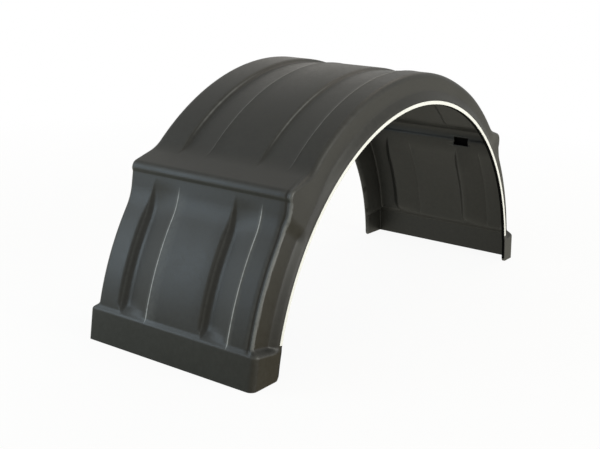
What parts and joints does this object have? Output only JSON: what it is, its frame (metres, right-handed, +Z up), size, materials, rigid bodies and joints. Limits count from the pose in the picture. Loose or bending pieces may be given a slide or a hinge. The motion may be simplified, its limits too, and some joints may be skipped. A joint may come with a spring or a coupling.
{
  "type": "trailer mudguard",
  "caption": "Half-round moulded wheel mudguard for a truck or trailer, with stepped lower panels, box feet and a white strip on the outer rim.",
  "frame": {"origin": "middle of the footprint, on the plane the feet stand on", "axes": "+X along the vehicle from the front end to the rear end, +Y from the outer side of the vehicle to its middle, +Z up"},
  "size_m": [1.28, 0.4668, 0.5983],
  "materials": {
    "shell_plastic": "satin, fine moulded grain",
    "trim_plastic": "smooth, semi-gloss"
  },
  "bodies": {
    "root": {"mudguard_shell": "shell_plastic", "edge_trim": "trim_plastic"}
  },
  "joints": []
}
